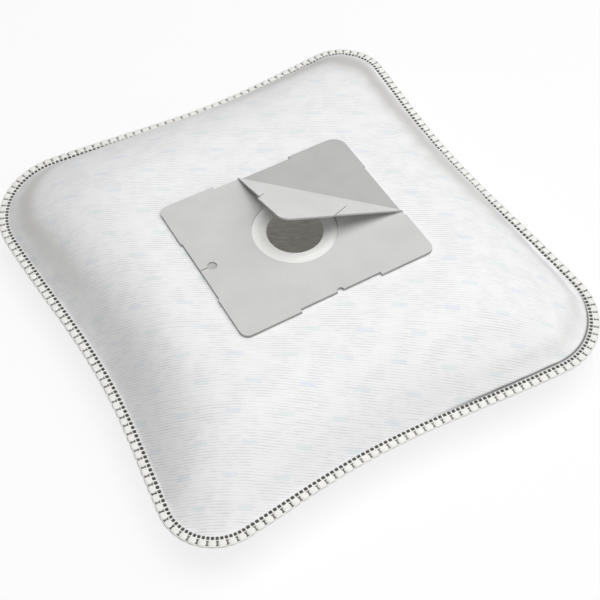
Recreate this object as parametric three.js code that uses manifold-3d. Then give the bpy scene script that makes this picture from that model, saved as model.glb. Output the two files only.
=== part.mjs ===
import * as THREE from 'three';
import { mergeGeometries, mergeVertices } from 'three/addons/utils/BufferGeometryUtils.js';
import Module from 'manifold-3d';

const wasm = await Module();
wasm.setup();

// A fleece dust bag for a vacuum cleaner, lying on its underside with its card collar uppermost.
// Millimetres. +Z is up, +X is the short way across the bag and +Y the long way.
// The origin is on the floor, under the middle of the bag's outline.

// Bag outline, seen from above, before its sides are drawn in
const BAG_HALF_X = 146;
const BAG_HALF_Y = 153.5;
const CORNER_RADIUS_RIGHT_FAR = 36;
const CORNER_RADIUS_LEFT_FAR = 55;
const CORNER_RADIUS_LEFT_NEAR = 38;
const CORNER_RADIUS_RIGHT_NEAR = 49;

// How far the filled bag draws in the middle of each side
const DRAW_RIGHT = 7;
const DRAW_FAR = 8.6;
const DRAW_LEFT = 8.8;
const DRAW_NEAR = 8.4;
const DRAW_SKEW = 0.55;

// Welded seam round the edge
const FLANGE_WIDTH = 6.5;
const FLANGE_SHEET = 0.7;
const WELD_LINE_INSET = 5.2;
const WELD_LINE_WIDTH = 1.5;
const WELD_DEPTH = 0.3;
const TICK_INSET = 0.8;
const TICK_LENGTH = 2.9;
const TICK_WIDTH = 0.95;
const TICK_PITCH = 5.75;

// Fleece panels
const FLEECE_WALL = 1.2;
const UPPER_RISE = 34;
const LOWER_DROP = 26;
const CROWN_MARGIN = 5;
const CROWN_SQUARENESS = 4;
const REST_HALF_X = 88;
const REST_HALF_Y = 94;
const REST_SQUARENESS = 2.6;
const FLEECE_HOLE_RADIUS = 19;

// How each panel falls from its flat part to the seam. Sides run right, far, left, near, and
// corners right far, left far, left near, right near. A higher power holds the height further
// out, and a higher fullness turns the steep foot into a gentle one.
const UPPER_FALL = {
  sidePowers: [2.2, 2.6, 2.3, 2.1],
  sideFullness: [0.75, 0.65, 1.3, 1.05],
  cornerFullness: [0.8, 0.9, 1.25, 1.25],
};
const LOWER_FALL = {
  sidePowers: [2.2, 2.2, 2.2, 2.2],
  sideFullness: [0.8, 0.8, 0.8, 0.8],
  cornerFullness: [1.25, 1.25, 1.25, 1.25],
};

// Collar of two glued cards with a sealing ring between them
const COLLAR_X = 0.7;
const COLLAR_Y = -8.2;
const CARD_HALF_X = 62.9;
const CARD_HALF_Y = 53.9;
const CARD_SHEET = 1;
const CARD_CORNER_RADIUS = 5;
const BASE_CARD_FAR_RIGHT_RADIUS = 9;
const FLAP_CORNER_RADIUS = 6;
const LONG_EDGE_RECESS = 2;
const LONG_EDGE_RECESS_HALF = 26.3;
const SHORT_EDGE_RECESS = 0.8;
const SHORT_EDGE_RECESS_HALF = 23;
const EDGE_NOTCH_RADIUS = 2.1;
const TOP_CARD_HOLE_RADIUS = 25.35;
const BASE_CARD_HOLE_RADIUS = 21;
const SEAL_OUTER_RADIUS = 31;
const SEAL_HOLE_RADIUS = 16.75;
const SEAL_SHEET = 0.4;
const SEAL_CLEARANCE = 0.3;

// Hanging hole at the left edge of the top card, with the slit that opens it
const HANG_HOLE_INSET = 8.4;
const HANG_HOLE_RADIUS = 2.8;
const SLIT_WIDTH = 0.5;

// Closing flap: the far right corner of the top card, folded back over the inlet
const CREASE_DISTANCE = 29.7;
const FLAP_FOLD_DEG = 151.5;
const FLAP_LEAN = 9.4;
const FOLD_FILLET = 0.5;
const FOLD_LAP = 0.06;
const FOLD_LAP_DEG = 10;
const FILLET_SPREAD_DEG = 45;
const FLAP_LONG_SLIT = 19;
const FLAP_SHORT_SLIT = 9;
const FLAP_SLIT_WIDTH = 0.5;

// Smoothness of the facets
const CORNER_STEPS = 9;
const SIDE_STEPS = 14;
const FALL_SHARES = [0.28, 0.5, 0.68, 0.82, 0.93, 1];
const HOLE_STEPS = 64;
const CARD_CORNER_STEPS = 7;
const DENSE_STEPS = 400;
const CUT_OVERRUN = 2;

// Heights of the stack
const SEAM_Z = LOWER_DROP;
const CROWN_Z = SEAM_Z + UPPER_RISE;
const BASE_CARD_TOP_Z = CROWN_Z + CARD_SHEET;
const TOP_CARD_TOP_Z = BASE_CARD_TOP_Z + CARD_SHEET;
const COLLAR_CENTRE = new THREE.Vector2(COLLAR_X, COLLAR_Y);

const MATERIALS = {
  fleece: new THREE.MeshStandardMaterial({ color: 0xf3f3f1, roughness: 0.9, metalness: 0 }),
  underFleece: new THREE.MeshStandardMaterial({ color: 0xf0f0ec, roughness: 0.9, metalness: 0 }),
  lightCard: new THREE.MeshStandardMaterial({ color: 0xcfcfcd, roughness: 0.8, metalness: 0 }),
  darkCard: new THREE.MeshStandardMaterial({ color: 0xb9babb, roughness: 0.8, metalness: 0 }),
  seal: new THREE.MeshStandardMaterial({ color: 0xe6e6e2, roughness: 0.6, metalness: 0 }),
};

// A named mesh of one material
function piece(name, geometry, material) {
  const mesh = new THREE.Mesh(geometry, material);
  mesh.name = name;
  return mesh;
}

// The joined and cut form of a closed geometry
function toSolid(geometry) {
  const bare = geometry.index ? geometry.toNonIndexed() : geometry.clone();
  bare.deleteAttribute('normal');
  bare.deleteAttribute('uv');
  const merged = mergeVertices(bare, 1e-4);
  return new wasm.Manifold(new wasm.Mesh({
    numProp: 3,
    vertProperties: new Float32Array(merged.attributes.position.array),
    triVerts: new Uint32Array(merged.index.array),
  }));
}

// The geometry of a joined or cut solid
function toGeometry(solid) {
  const mesh = solid.getMesh();
  const geometry = new THREE.BufferGeometry();
  geometry.setAttribute('position', new THREE.BufferAttribute(mesh.vertProperties, mesh.numProp));
  geometry.setIndex(new THREE.BufferAttribute(mesh.triVerts, 1));
  geometry.computeVertexNormals();
  return geometry;
}

// An upright plate of a flat shape between two heights
function plate(shape, lowZ, highZ) {
  const geometry = new THREE.ExtrudeGeometry(shape, { depth: highZ - lowZ, bevelEnabled: false });
  return geometry.translate(0, 0, lowZ);
}

// An upright round cutter between two heights
function roundCutter(x, y, radius, lowZ, highZ, steps = HOLE_STEPS) {
  const geometry = new THREE.CylinderGeometry(radius, radius, highZ - lowZ, steps);
  return toSolid(geometry.rotateX(Math.PI / 2).translate(x, y, (lowZ + highZ) / 2));
}

// A box cutter of given size, turned by an angle about Z and put at a point
function boxCutter(length, width, height, angle, x, y, z) {
  return toSolid(new THREE.BoxGeometry(length, width, height).rotateZ(angle).translate(x, y, z));
}

// Corners of an outline, counterclockwise from the right far one: each has the signs of its
// X and Y and its radius. The loop has equal counts of steps on every corner and side.
function roundedLoop(halfX, halfY, corners, cornerSteps, sideSteps) {
  const loop = [];
  corners.forEach((corner, index) => {
    const next = corners[(index + 1) % corners.length];
    const turn = index * Math.PI / 2;
    const arcPoint = (c, angle) => new THREE.Vector2(
      c.x * (halfX - c.radius) + c.radius * Math.cos(angle),
      c.y * (halfY - c.radius) + c.radius * Math.sin(angle),
    );
    for (let step = 0; step <= cornerSteps; step += 1) {
      loop.push(arcPoint(corner, turn + (step / cornerSteps) * Math.PI / 2));
    }
    const sideStart = arcPoint(corner, turn + Math.PI / 2);
    const sideEnd = arcPoint(next, turn + Math.PI / 2);
    for (let step = 1; step < sideSteps; step += 1) {
      loop.push(sideStart.clone().lerp(sideEnd, step / sideSteps));
    }
  });
  return loop;
}

// How much of its draw a side has at a share of the way along it: nothing at the corners, and
// more on the half towards the right far or the left near corner than on the other half
function drawShare(alongShare, sideSign) {
  const quarterTurn = (Math.PI / 2) * alongShare;
  return Math.cos(quarterTurn) ** 2 * (1 + DRAW_SKEW * sideSign * Math.sin(quarterTurn));
}

// Draws in the sides of the outline
function drawIn(point) {
  const drawX = point.x > 0 ? DRAW_RIGHT : DRAW_LEFT;
  const drawY = point.y > 0 ? DRAW_FAR : DRAW_NEAR;
  const shareX = drawShare(point.y / BAG_HALF_Y, Math.sign(point.x));
  const shareY = drawShare(point.x / BAG_HALF_X, Math.sign(point.y));
  return new THREE.Vector2(
    point.x - drawX * shareX * (point.x / BAG_HALF_X),
    point.y - drawY * shareY * (point.y / BAG_HALF_Y),
  );
}

const BAG_CORNERS = [
  { x: 1, y: 1, radius: CORNER_RADIUS_RIGHT_FAR },
  { x: -1, y: 1, radius: CORNER_RADIUS_LEFT_FAR },
  { x: -1, y: -1, radius: CORNER_RADIUS_LEFT_NEAR },
  { x: 1, y: -1, radius: CORNER_RADIUS_RIGHT_NEAR },
];

// The bag's outer edge, centred on its own box
function bagLoop(cornerSteps, sideSteps) {
  const loop = roundedLoop(BAG_HALF_X, BAG_HALF_Y, BAG_CORNERS, cornerSteps, sideSteps).map(drawIn);
  const middle = new THREE.Box2().setFromPoints(loop).getCenter(new THREE.Vector2());
  return loop.map((point) => point.sub(middle));
}

// The loop moved inwards everywhere by one distance
function insetLoop(loop, distance) {
  return loop.map((point, index) => {
    const before = loop[(index + loop.length - 1) % loop.length];
    const after = loop[(index + 1) % loop.length];
    const along = after.clone().sub(before).normalize();
    return new THREE.Vector2(point.x - along.y * distance, point.y + along.x * distance);
  });
}

// Where a squarish oval round a centre lies in the direction of each point of a loop
function ovalLoop(loop, centre, halfX, halfY, squareness) {
  return loop.map((point) => {
    const ray = point.clone().sub(centre).normalize();
    const reach = Math.abs(ray.x / halfX) ** squareness + Math.abs(ray.y / halfY) ** squareness;
    return ray.multiplyScalar(reach ** (-1 / squareness)).add(centre);
  });
}

const EDGE_LOOP = bagLoop(CORNER_STEPS, SIDE_STEPS);

// A value that each side has, blended round the bag by the squared cosine of the bearing
function bySide(bearing, [right, far, left, near]) {
  const alongX = Math.cos(bearing) > 0 ? right : left;
  const alongY = Math.sin(bearing) > 0 ? far : near;
  return THREE.MathUtils.lerp(alongY, alongX, Math.cos(bearing) ** 2);
}

// The share of the height left after a share of the way from the flat part to the seam
function heightLeft(share, edgePoint, fall) {
  const bearing = Math.atan2(edgePoint.y / BAG_HALF_Y, edgePoint.x / BAG_HALF_X);
  const cornerness = Math.abs(Math.sin(2 * bearing)) ** 3;
  const corner = fall.cornerFullness[(Math.floor((2 * bearing) / Math.PI) + 4) % 4];
  const fullness = THREE.MathUtils.lerp(bySide(bearing, fall.sideFullness), corner, cornerness);
  return (1 - share ** bySide(bearing, fall.sidePowers)) ** fullness;
}

// One ring at one height
const levelRing = (loop, z) => loop.map((point) => new THREE.Vector3(point.x, point.y, z));

// The rings of a swollen face, from the rim of its flat part down to the seam
function bulgeRings(flatLoop, seamLoop, flatZ, seamZ, fall) {
  const rings = FALL_SHARES.map((share) => flatLoop.map((point, index) => {
    const place = point.clone().lerp(seamLoop[index], share);
    const height = heightLeft(share, EDGE_LOOP[index], fall);
    return new THREE.Vector3(place.x, place.y, seamZ + (flatZ - seamZ) * height);
  }));
  return [levelRing(flatLoop, flatZ), ...rings];
}

// A closed skin over rings of equal counts. Without poles the last ring joins the first; with
// poles each end closes on its own point.
function ringSkin(rings, poles = []) {
  const count = rings[0].length;
  const points = [...rings.flat(), ...poles];
  const faces = [];
  const spans = poles.length ? rings.length - 1 : rings.length;
  for (let ring = 0; ring < spans; ring += 1) {
    const here = ring * count;
    const there = ((ring + 1) % rings.length) * count;
    for (let step = 0; step < count; step += 1) {
      const next = (step + 1) % count;
      faces.push(here + step, here + next, there + next, here + step, there + next, there + step);
    }
  }
  if (poles.length) {
    const last = (rings.length - 1) * count;
    const startPole = rings.length * count;
    for (let step = 0; step < count; step += 1) {
      const next = (step + 1) % count;
      faces.push(startPole, next, step);
      faces.push(startPole + 1, last + step, last + next);
    }
  }
  const geometry = new THREE.BufferGeometry().setFromPoints(points);
  geometry.setIndex(faces);
  return geometry;
}

// The ticks of the weld: bars across the flange at an even pitch round the edge
function tickCutters() {
  const dense = bagLoop(DENSE_STEPS, DENSE_STEPS);
  const curve = dense.map((point) => new THREE.Vector3(point.x, point.y, 0));
  const lengths = [0];
  curve.forEach((point, index) => {
    lengths.push(lengths[index] + point.distanceTo(curve[(index + 1) % curve.length]));
  });
  const perimeter = lengths[lengths.length - 1];
  const ticks = Math.round(perimeter / TICK_PITCH);
  const bars = [];
  let index = 0;
  for (let tick = 0; tick < ticks; tick += 1) {
    while (lengths[index + 1] < (tick * perimeter) / ticks) index += 1;
    const here = curve[index];
    const along = curve[(index + 1) % curve.length].clone().sub(here).normalize();
    const depth = TICK_INSET + TICK_LENGTH / 2;
    bars.push(new THREE.BoxGeometry(TICK_WIDTH, TICK_LENGTH, 2 * WELD_DEPTH)
      .rotateZ(Math.atan2(along.y, along.x))
      .translate(here.x - along.y * depth, here.y + along.x * depth, SEAM_Z + FLANGE_SHEET));
  }
  return toSolid(mergeGeometries(bars));
}

// Upper panel: flange with its weld marks, swollen sides and a flat crown with the inlet hole
function upperPanel() {
  const flangeTop = SEAM_Z + FLANGE_SHEET;
  const grooveOuter = insetLoop(EDGE_LOOP, WELD_LINE_INSET - WELD_LINE_WIDTH / 2);
  const grooveInner = insetLoop(EDGE_LOOP, WELD_LINE_INSET + WELD_LINE_WIDTH / 2);
  const seamOuter = insetLoop(EDGE_LOOP, FLANGE_WIDTH);
  const seamInner = insetLoop(EDGE_LOOP, FLANGE_WIDTH + FLEECE_WALL);
  const stretch = 2 ** (1 / CROWN_SQUARENESS);
  const crown = ovalLoop(EDGE_LOOP, COLLAR_CENTRE, (CARD_HALF_X + CROWN_MARGIN) * stretch,
    (CARD_HALF_Y + CROWN_MARGIN) * stretch, CROWN_SQUARENESS);
  const hole = ovalLoop(EDGE_LOOP, COLLAR_CENTRE, FLEECE_HOLE_RADIUS, FLEECE_HOLE_RADIUS, 2);
  const rings = [
    levelRing(EDGE_LOOP, flangeTop),
    levelRing(grooveOuter, flangeTop),
    levelRing(grooveOuter, flangeTop - WELD_DEPTH),
    levelRing(grooveInner, flangeTop - WELD_DEPTH),
    levelRing(grooveInner, flangeTop),
    ...bulgeRings(crown, seamOuter, CROWN_Z, flangeTop, UPPER_FALL).reverse(),
    levelRing(hole, CROWN_Z),
    levelRing(hole, CROWN_Z - FLEECE_WALL),
    ...bulgeRings(crown, seamInner, CROWN_Z - FLEECE_WALL, SEAM_Z, UPPER_FALL),
    levelRing(EDGE_LOOP, SEAM_Z),
  ];
  return toGeometry(toSolid(ringSkin(rings)).subtract(tickCutters()));
}

// Lower panel: a swollen dish whose flat middle rests on the floor
function lowerPanel() {
  const flangeBottom = SEAM_Z - FLANGE_SHEET;
  const seamOuter = insetLoop(EDGE_LOOP, FLANGE_WIDTH);
  const seamInner = insetLoop(EDGE_LOOP, FLANGE_WIDTH + FLEECE_WALL);
  const centre = new THREE.Vector2();
  const rest = ovalLoop(EDGE_LOOP, centre, REST_HALF_X, REST_HALF_Y, REST_SQUARENESS);
  const rings = [
    ...bulgeRings(rest, seamOuter, 0, flangeBottom, LOWER_FALL),
    levelRing(EDGE_LOOP, flangeBottom),
    levelRing(EDGE_LOOP, SEAM_Z),
    ...bulgeRings(rest, seamInner, FLEECE_WALL, SEAM_Z, LOWER_FALL).reverse(),
  ];
  return ringSkin(rings, [new THREE.Vector3(0, 0, 0), new THREE.Vector3(0, 0, FLEECE_WALL)]);
}

// A card's outline round the collar's centre: a rounded rectangle, alike on both cards apart
// from its far right corner
function cardShape(farRightRadius) {
  const corners = [
    { x: 1, y: 1, radius: farRightRadius },
    { x: -1, y: 1, radius: CARD_CORNER_RADIUS },
    { x: -1, y: -1, radius: CARD_CORNER_RADIUS },
    { x: 1, y: -1, radius: CARD_CORNER_RADIUS },
  ];
  return new THREE.Shape(roundedLoop(CARD_HALF_X, CARD_HALF_Y, corners, CARD_CORNER_STEPS, 1));
}

// The cut-away of a shallow recess along the middle of each edge and of a half-round notch in
// the near one, tall enough for both cards
function cardEdgeCutters() {
  const height = 2 * CARD_SHEET + 2 * CUT_OVERRUN;
  const middleZ = BASE_CARD_TOP_Z;
  const alongX = (side) => boxCutter(2 * LONG_EDGE_RECESS_HALF, 2 * LONG_EDGE_RECESS, height, 0,
    0, side * CARD_HALF_Y, middleZ);
  const alongY = (side) => boxCutter(2 * SHORT_EDGE_RECESS, 2 * SHORT_EDGE_RECESS_HALF, height, 0,
    side * CARD_HALF_X, 0, middleZ);
  const notch = roundCutter(0, -CARD_HALF_Y + LONG_EDGE_RECESS, EDGE_NOTCH_RADIUS,
    middleZ - height / 2, middleZ + height / 2, 2 * CARD_CORNER_STEPS);
  return alongX(1).add(alongX(-1)).add(alongY(1)).add(alongY(-1)).add(notch);
}

// Base card: whole, glued to the fleece, with the sealing ring's seat pressed into its top
function baseCard() {
  const seatRadius = SEAL_OUTER_RADIUS + SEAL_CLEARANCE;
  const solid = toSolid(plate(cardShape(BASE_CARD_FAR_RIGHT_RADIUS), CROWN_Z, BASE_CARD_TOP_Z))
    .subtract(cardEdgeCutters())
    .subtract(roundCutter(0, 0, BASE_CARD_HOLE_RADIUS, CROWN_Z - CUT_OVERRUN, TOP_CARD_TOP_Z))
    .subtract(roundCutter(0, 0, seatRadius, BASE_CARD_TOP_Z - SEAL_SHEET, TOP_CARD_TOP_Z));
  return toGeometry(solid);
}

// Sealing ring: a flat disc with the inlet hole, flush with the base card's top
function sealRing() {
  const shape = new THREE.Shape().absarc(0, 0, SEAL_OUTER_RADIUS, 0, 2 * Math.PI);
  shape.holes.push(new THREE.Path().absarc(0, 0, SEAL_HOLE_RADIUS, 0, 2 * Math.PI, true));
  const geometry = new THREE.ExtrudeGeometry(shape,
    { depth: SEAL_SHEET, bevelEnabled: false, curveSegments: HOLE_STEPS });
  return geometry.translate(0, 0, BASE_CARD_TOP_Z - SEAL_SHEET);
}

// The crease runs at 45 degrees across the far right corner. These axes have X along the
// crease, Y out towards that corner and Z up, with the origin at the crease's middle on the
// top card's upper face.
const CREASE_FRAME = new THREE.Matrix4().makeRotationZ(-Math.PI / 4).setPosition(
  CREASE_DISTANCE * Math.SQRT1_2, CREASE_DISTANCE * Math.SQRT1_2, TOP_CARD_TOP_Z);
const CREASE_FRAME_BACK = CREASE_FRAME.clone().invert();

// How far along the crease, from its middle, the crease meets the far and right card edges
const CREASE_TO_FAR = (CARD_HALF_Y - LONG_EDGE_RECESS) * Math.SQRT2 - CREASE_DISTANCE;
const CREASE_TO_RIGHT = (CARD_HALF_X - SHORT_EDGE_RECESS) * Math.SQRT2 - CREASE_DISTANCE;

// A slit in the unfolded flap, square to the crease, from a point of its free edge inwards
function flapSlit(edgeX, edgeY, length) {
  const middle = (length - CUT_OVERRUN) / 2;
  return boxCutter(length + CUT_OVERRUN, FLAP_SLIT_WIDTH, 2 * CUT_OVERRUN, Math.PI / 4,
    edgeX - middle * Math.SQRT1_2, edgeY - middle * Math.SQRT1_2, TOP_CARD_TOP_Z);
}

// The folded flap: the card's corner beyond the crease, leant a little and turned about it
function foldedFlap(wholeCard, cornerSide) {
  const flat = wholeCard.intersect(cornerSide)
    .subtract(flapSlit(LONG_EDGE_RECESS_HALF, CARD_HALF_Y, FLAP_SHORT_SLIT))
    .subtract(flapSlit(CARD_HALF_X, SHORT_EDGE_RECESS_HALF, FLAP_LONG_SLIT));
  const reach = (CARD_HALF_X + CARD_HALF_Y) * Math.SQRT1_2 - CREASE_DISTANCE;
  const lean = new THREE.Matrix4().makeShear(0, 0, -FLAP_LEAN / reach, 0, 0, 0);
  const fold = new THREE.Matrix4().makeRotationX(THREE.MathUtils.degToRad(FLAP_FOLD_DEG));
  const placed = CREASE_FRAME.clone().multiply(fold).multiply(lean).multiply(CREASE_FRAME_BACK);
  return toSolid(toGeometry(flat).applyMatrix4(placed));
}

// The fold itself: round on the outside, with a small fillet inside. It laps into the plate and
// the flap, and ends just past the card's edges.
function foldBead() {
  const section = new THREE.Shape().absarc(0, 0, CARD_SHEET - FOLD_LAP,
    THREE.MathUtils.degToRad(-90 - FOLD_LAP_DEG),
    THREE.MathUtils.degToRad(FLAP_FOLD_DEG - 90 + FOLD_LAP_DEG), false);
  const wedgeMiddleDeg = (FLAP_FOLD_DEG + 180) / 2;
  [-FILLET_SPREAD_DEG, 0, FILLET_SPREAD_DEG].forEach((spread) => {
    const angle = THREE.MathUtils.degToRad(wedgeMiddleDeg + spread);
    section.lineTo(FOLD_FILLET * Math.cos(angle), FOLD_FILLET * Math.sin(angle));
  });
  const start = -CREASE_TO_FAR - CUT_OVERRUN;
  const geometry = new THREE.ExtrudeGeometry(section, {
    depth: CREASE_TO_RIGHT + CUT_OVERRUN - start,
    bevelEnabled: false,
    curveSegments: CARD_CORNER_STEPS,
  });
  // The section's X becomes the crease frame's Y, its Y the frame's Z, and its depth the X
  const stand = new THREE.Matrix4().makeBasis(
    new THREE.Vector3(0, 1, 0), new THREE.Vector3(0, 0, 1), new THREE.Vector3(1, 0, 0));
  geometry.applyMatrix4(stand).translate(start, 0, 0).applyMatrix4(CREASE_FRAME);
  const trimX = CARD_HALF_X - SHORT_EDGE_RECESS + FOLD_LAP;
  const trimY = CARD_HALF_Y - LONG_EDGE_RECESS + FOLD_LAP;
  const trim = new THREE.BoxGeometry(4 * trimX, 4 * trimY, 8 * CARD_SHEET)
    .translate(-trimX, -trimY, TOP_CARD_TOP_Z);
  return toSolid(geometry).intersect(toSolid(trim));
}

// Top card: collar plate and closing flap in one piece of card
function topCard() {
  const wholeCard = toSolid(plate(cardShape(FLAP_CORNER_RADIUS), BASE_CARD_TOP_Z, TOP_CARD_TOP_Z))
    .subtract(cardEdgeCutters());
  const span = 2 * (CARD_HALF_X + CARD_HALF_Y);
  const cornerBox = new THREE.BoxGeometry(span, span, 4 * CARD_SHEET).translate(0, span / 2, 0);
  const cornerSide = toSolid(cornerBox.applyMatrix4(CREASE_FRAME));
  const hangHoleX = -CARD_HALF_X + HANG_HOLE_INSET;
  const slitLength = HANG_HOLE_INSET + CUT_OVERRUN;
  const solid = wholeCard
    .subtract(cornerSide)
    .subtract(roundCutter(0, 0, TOP_CARD_HOLE_RADIUS, BASE_CARD_TOP_Z - CUT_OVERRUN,
      TOP_CARD_TOP_Z + CUT_OVERRUN))
    .subtract(roundCutter(hangHoleX, 0, HANG_HOLE_RADIUS, BASE_CARD_TOP_Z - CUT_OVERRUN,
      TOP_CARD_TOP_Z + CUT_OVERRUN, 4 * CARD_CORNER_STEPS))
    .subtract(boxCutter(slitLength, SLIT_WIDTH, 4 * CARD_SHEET, 0,
      hangHoleX - slitLength / 2, 0, TOP_CARD_TOP_Z))
    .add(foldBead())
    .add(foldedFlap(wholeCard, cornerSide));
  return toGeometry(solid);
}

const collar = new THREE.Group();
collar.position.set(COLLAR_X, COLLAR_Y, 0);
collar.add(
  piece('collar_base_card', baseCard(), MATERIALS.darkCard),
  piece('seal_ring', sealRing(), MATERIALS.seal),
  piece('collar_top_card', topCard(), MATERIALS.lightCard),
);

const dustBag = new THREE.Group();
dustBag.add(
  piece('lower_fleece_panel', lowerPanel(), MATERIALS.underFleece),
  piece('upper_fleece_panel', upperPanel(), MATERIALS.fleece),
  collar,
);

export default dustBag;
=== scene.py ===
"""Dresses a filled fleece dust bag for a vacuum cleaner round its fixed frame.

The bag lies on its underside with its card collar uppermost. Two embossed fleece panels meet in a
welded seam with a row of melted dots and a row of melted bars. The collar is two die-cut grey
boards over a sealing ring, and one corner of the upper board is folded back over the inlet.
"""

import logging
import math
from dataclasses import dataclass, field
from enum import Enum

import bmesh
import bpy
import numpy as np
from bpy.types import Material, Node, NodeSocket, NodeTree, Object
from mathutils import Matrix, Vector
from numpy import ndarray


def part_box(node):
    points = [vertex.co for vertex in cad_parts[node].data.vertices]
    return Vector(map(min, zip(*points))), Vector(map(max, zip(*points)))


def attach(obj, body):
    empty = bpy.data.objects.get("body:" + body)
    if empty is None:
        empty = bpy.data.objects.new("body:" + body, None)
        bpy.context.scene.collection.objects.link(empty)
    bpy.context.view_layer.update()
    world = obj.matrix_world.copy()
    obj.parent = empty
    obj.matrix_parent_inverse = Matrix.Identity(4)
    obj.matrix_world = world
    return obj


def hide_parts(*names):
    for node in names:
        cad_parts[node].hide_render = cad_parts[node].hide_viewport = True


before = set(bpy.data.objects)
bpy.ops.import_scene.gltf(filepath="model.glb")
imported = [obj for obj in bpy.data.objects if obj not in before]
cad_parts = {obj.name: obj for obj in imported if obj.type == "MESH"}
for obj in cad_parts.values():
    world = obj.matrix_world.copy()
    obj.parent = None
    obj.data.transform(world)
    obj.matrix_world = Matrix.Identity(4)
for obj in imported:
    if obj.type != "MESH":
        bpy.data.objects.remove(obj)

LOG = logging.getLogger("dust_bag")
MM = 0.001
TINY = 1e-6
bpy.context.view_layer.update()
CLOTH_UV = "cloth"
# The melted weld marks, and a painted shadow line by the weld at one corner.
WELD_AND_SHADOW_ATTRIBUTE = "welded"
CREAM_ATTRIBUTE = "cream"
# Painted shade: how far the fleece takes a darker colour in the creases by the seam.
CREASE_SHADE_ATTRIBUTE = "crease"


def linear(code: str) -> tuple[float, float, float, float]:
    """Turns an sRGB hex colour into the linear one that the shaders use.

    Args:
        code: six hex digits, such as "f3f3f1".

    Returns:
        Red, green, blue and alpha, each from 0 to 1.
    """
    srgb = np.array([int(code[place:place + 2], 16) for place in (0, 2, 4)]) / 255
    value = np.where(srgb <= 0.04045, srgb / 12.92, ((srgb + 0.055) / 1.055) ** 2.4)
    return (*value.tolist(), 1.0)


def smooth(value: ndarray, start: float = 0.0, full: float = 1.0) -> ndarray:
    """Eases from 0 at the start to 1 at full: three times the share's square less twice its cube."""
    share = np.clip((value - start) / (full - start), 0, 1)
    return share * share * (3 - 2 * share)


def ripple(shares: ndarray, counts: range, seed: int) -> ndarray:
    """Gives an uneven wave round a closed loop: a sum of cosines with whole numbers of waves.

    Each cosine's strength is drawn from 0.4 to 1. The sum over 2.2 times the root of its squared
    strengths is about 1 at its highest.

    Args:
        shares: places round the loop, from 0 to 1.
        counts: how many waves each cosine has in one round.
        seed: what the phases and strengths are drawn from.

    Returns:
        The height of the wave at each place.
    """
    draw = np.random.default_rng(seed)
    waves = np.array(list(counts), float)
    phases = draw.uniform(0, 2 * np.pi, len(waves))
    strengths = draw.uniform(0.4, 1, len(waves))
    total = np.cos(2 * np.pi * np.outer(shares, waves) + phases) @ strengths
    return total / (2.2 * np.sqrt((strengths ** 2).sum()))


def add_node(tree: NodeTree, kind: str, inputs: dict | None = None,
             **settings: str | float | bool) -> Node:
    """Adds a shader node.

    Args:
        tree: the node tree that it goes into.
        kind: the node's type name, without the words ShaderNode before it.
        inputs: for a socket's name or number, its value, the output that is linked to it, or the
            node whose first output is.
        settings: values for its properties.

    Returns:
        The new node.
    """
    node = tree.nodes.new("ShaderNode" + kind)
    for name, value in settings.items():
        setattr(node, name, value)
    for name, value in (inputs or {}).items():
        given = value.outputs[0] if isinstance(value, Node) else value
        if isinstance(given, NodeSocket):
            tree.links.new(given, node.inputs[name])
        else:
            node.inputs[name].default_value = given
    return node


def empty_material(name: str) -> tuple[Material, NodeTree]:
    """Makes a material with an empty node tree and returns both."""
    material = bpy.data.materials.new(name)
    material.use_nodes = True
    material.node_tree.nodes.clear()
    return material, material.node_tree


def end_material(tree: NodeTree, relief: tuple, surface: dict,
                 thin: tuple[float, str] | None = None) -> None:
    """Adds a material's surface with its relief, and for cloth the light that comes through.

    Args:
        tree: the material's node tree.
        relief: the node or output that gives the height, its depth in metres and its strength.
        surface: inputs of the surface's shader.
        thin: the share of light that comes through, and its colour.
    """
    height, depth, strength = relief
    bump = add_node(tree, "Bump", {"Height": height, "Distance": depth, "Strength": strength})
    shader = add_node(tree, "BsdfPrincipled", {"Normal": bump, **surface})
    if thin:
        through = add_node(tree, "BsdfTranslucent", {"Color": linear(thin[1])})
        shader = add_node(tree, "MixShader", {0: thin[0], 1: shader, 2: through})
    add_node(tree, "OutputMaterial", {"Surface": shader})


def link_object(name: str, data: bpy.types.ID) -> Object:
    """Makes an object of a mesh, lamp or camera, and links it to the scene."""
    made = bpy.data.objects.new(name, data)
    bpy.context.scene.collection.objects.link(made)
    return made


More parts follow.
